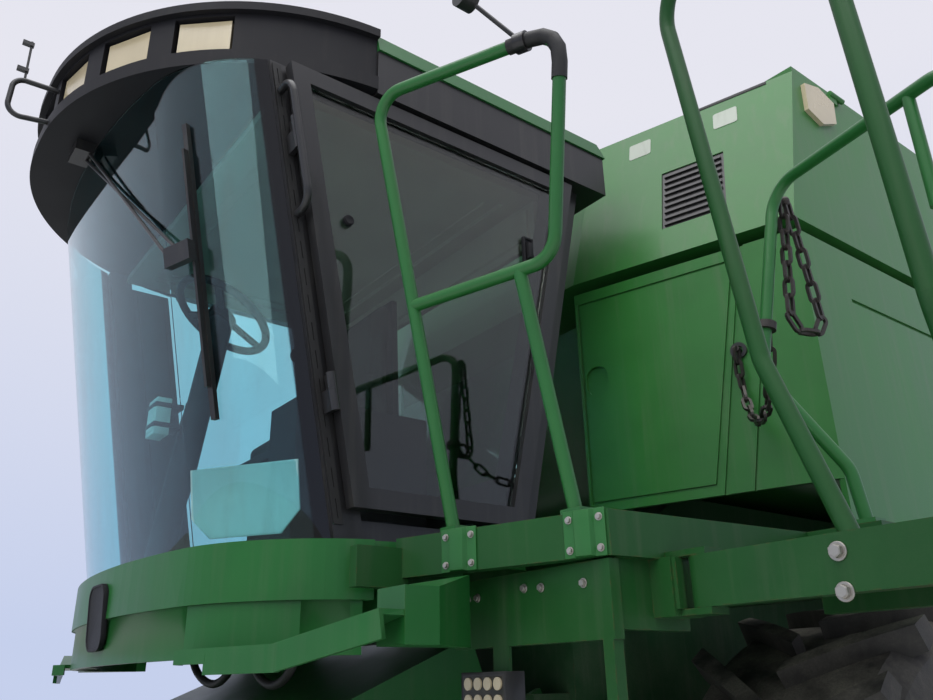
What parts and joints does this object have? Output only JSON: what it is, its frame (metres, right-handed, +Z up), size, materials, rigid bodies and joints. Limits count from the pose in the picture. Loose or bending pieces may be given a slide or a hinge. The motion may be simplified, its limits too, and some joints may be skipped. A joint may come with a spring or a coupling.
{
  "type": "combine harvester",
  "caption": "Self-propelled combine harvester with glass cab, side platform and ladder, grain tank, unloading auger and feeder house, standing without a header.",
  "frame": {"origin": "on the ground, at the middle of the overall length and of the overall width with the ladder out; the machine's own centre-plane lies at x = -0.350 m", "axes": "+Z up, -Y forward towards the feeder mouth, +X to the machine's left, the side with the ladder"},
  "size_m": [4.1883, 8.6, 3.95],
  "materials": {
    "chassis": "satin",
    "front_axle": "satin",
    "rear_axle": "satin",
    "threshing_body": "satin",
    "body_panels": "semi-gloss",
    "grain_tank": "semi-gloss",
    "engine": "rough",
    "engine_hood": "semi-gloss",
    "radiator_screen": "matt",
    "exhaust": "heat-stained",
    "straw_hood": "semi-gloss",
    "fuel_tank": "moulded",
    "cab_base": "semi-gloss",
    "cab_frame": "satin",
    "cab_roof": "semi-gloss",
    "cab_visor": "moulded",
    "windscreen": "tinted",
    "cab_glass": "tinted",
    "seat": "woven",
    "controls": "moulded",
    "platform": "semi-gloss",
    "handrails": "semi-gloss",
    "work_lamps": "lens",
    "cab_fittings": "satin",
    "safety_chains": "zinc plated",
    "auger_base": "semi-gloss",
    "door_frame": "satin",
    "door_glass": "tinted",
    "ladder": "semi-gloss",
    "feeder_house": "semi-gloss",
    "feeder_chain": "worn",
    "lift_barrels": "satin",
    "lift_rods": "polished",
    "unload_auger": "semi-gloss",
    "tank_cover_left": "semi-gloss",
    "tank_cover_right": "semi-gloss",
    "knuckle_left": "painted",
    "knuckle_right": "painted",
    "tie_rod": "painted",
    "front_rim_left": "satin",
    "front_tyre_left": "rubber",
    "front_rim_right": "satin",
    "front_tyre_right": "rubber",
    "rear_rim_left": "satin",
    "rear_tyre_left": "rubber",
    "rear_rim_right": "satin",
    "rear_tyre_right": "rubber"
  },
  "bodies": {
    "machine": {"chassis": "chassis", "front_axle": "front_axle", "rear_axle": "rear_axle", "threshing_body": "threshing_body", "body_panels": "body_panels", "grain_tank": "grain_tank", "engine": "engine", "engine_hood": "engine_hood", "radiator_screen": "radiator_screen", "exhaust": "exhaust", "straw_hood": "straw_hood", "fuel_tank": "fuel_tank", "cab_base": "cab_base", "cab_frame": "cab_frame", "cab_roof": "cab_roof", "cab_visor": "cab_visor", "windscreen": "windscreen", "cab_glass": "cab_glass", "seat": "seat", "controls": "controls", "platform": "platform", "handrails": "handrails", "work_lamps": "work_lamps", "cab_fittings": "cab_fittings", "safety_chains": "safety_chains", "auger_base": "auger_base"},
    "door": {"door_frame": "door_frame", "door_glass": "door_glass"},
    "ladder": {"ladder": "ladder"},
    "feeder": {"feeder_house": "feeder_house", "feeder_chain": "feeder_chain"},
    "lift_barrels": {"lift_barrels": "lift_barrels"},
    "lift_rods": {"lift_rods": "lift_rods"},
    "auger": {"unload_auger": "unload_auger"},
    "cover_left": {"tank_cover_left": "tank_cover_left"},
    "cover_right": {"tank_cover_right": "tank_cover_right"},
    "wheel_front_left": {"front_rim_left": "front_rim_left", "front_tyre_left": "front_tyre_left"},
    "wheel_front_right": {"front_rim_right": "front_rim_right", "front_tyre_right": "front_tyre_right"},
    "wheel_rear_left": {"rear_rim_left": "rear_rim_left", "rear_tyre_left": "rear_tyre_left"},
    "wheel_rear_right": {"rear_rim_right": "rear_rim_right", "rear_tyre_right": "rear_tyre_right"},
    "knuckle_left": {"knuckle_left": "knuckle_left"},
    "knuckle_right": {"knuckle_right": "knuckle_right"},
    "tie_rod": {"tie_rod": "tie_rod"}
  },
  "joints": [
    {"name": "cab_door", "type": "hinge", "parent": "machine", "child": "door", "pos_m": [0.578, -3.38986, 2.7], "axis": [0, 0.1959, -0.9806], "range_deg": [0, 42]},
    {"name": "ladder_swing", "type": "hinge", "parent": "machine", "child": "ladder", "pos_m": [1.29, -2.77, 1.8], "axis": [0, 0, -1], "range_deg": [0, 90]},
    {"name": "feeder_lift", "type": "hinge", "parent": "machine", "child": "feeder", "pos_m": [-0.35, -2.44, 1.5], "axis": [-1, 0, 0], "range_deg": [-8, 12]},
    {"name": "lift_barrel_tilt", "type": "hinge", "parent": "machine", "child": "lift_barrels", "pos_m": [-0.35, -1.84, 0.64], "axis": [1, 0, 0], "range_deg": [-20, 20]},
    {"name": "lift_rod_slide", "type": "slide", "parent": "lift_barrels", "child": "lift_rods", "axis": [0, -0.9931, 0.1175], "range_m": [-0.2, 0.25]},
    {"name": "auger_swing", "type": "hinge", "parent": "machine", "child": "auger", "pos_m": [0.965, 0.95, 3.3], "axis": [0, 0, -1], "range_deg": [0, 95]},
    {"name": "cover_left_open", "type": "hinge", "parent": "machine", "child": "cover_left", "pos_m": [1.164, -0.4, 3.85], "axis": [0, 1, 0], "range_deg": [0, 100]},
    {"name": "cover_right_open", "type": "hinge", "parent": "machine", "child": "cover_right", "pos_m": [-1.864, -0.4, 3.85], "axis": [0, -1, 0], "range_deg": [0, 100]},
    {"name": "front_left_spin", "type": "hinge", "parent": "machine", "child": "wheel_front_left", "pos_m": [1.045, -1.65, 0.9], "axis": [1, 0, 0], "continuous": true},
    {"name": "front_right_spin", "type": "hinge", "parent": "machine", "child": "wheel_front_right", "pos_m": [-1.745, -1.65, 0.9], "axis": [1, 0, 0], "continuous": true},
    {"name": "steer_left", "type": "hinge", "parent": "machine", "child": "knuckle_left", "pos_m": [0.44, 2, 0.625], "axis": [0, 0, 1], "range_deg": [-38, 38]},
    {"name": "steer_right", "type": "hinge", "parent": "machine", "child": "knuckle_right", "pos_m": [-1.14, 2, 0.625], "axis": [0, 0, 1], "range_deg": [-38, 38]},
    {"name": "tie_rod_pivot", "type": "hinge", "parent": "knuckle_left", "child": "tie_rod", "pos_m": [0.44, 2.25, 0.5], "axis": [0, 0, 1], "range_deg": [-38, 38]},
    {"name": "rear_left_spin", "type": "hinge", "parent": "knuckle_left", "child": "wheel_rear_left", "pos_m": [0.75, 2, 0.625], "axis": [1, 0, 0], "continuous": true},
    {"name": "rear_right_spin", "type": "hinge", "parent": "knuckle_right", "child": "wheel_rear_right", "pos_m": [-1.45, 2, 0.625], "axis": [1, 0, 0], "continuous": true}
  ],
  "couplings": [
    {"joint": "steer_right", "follows": "steer_left", "ratio": 1},
    {"joint": "tie_rod_pivot", "follows": "steer_left", "ratio": -1},
    {"joint": "lift_barrel_tilt", "follows": "feeder_lift", "ratio": -0.4632},
    {"joint": "lift_rod_slide", "follows": "feeder_lift", "m_per_rad": 0.7671}
  ]
}
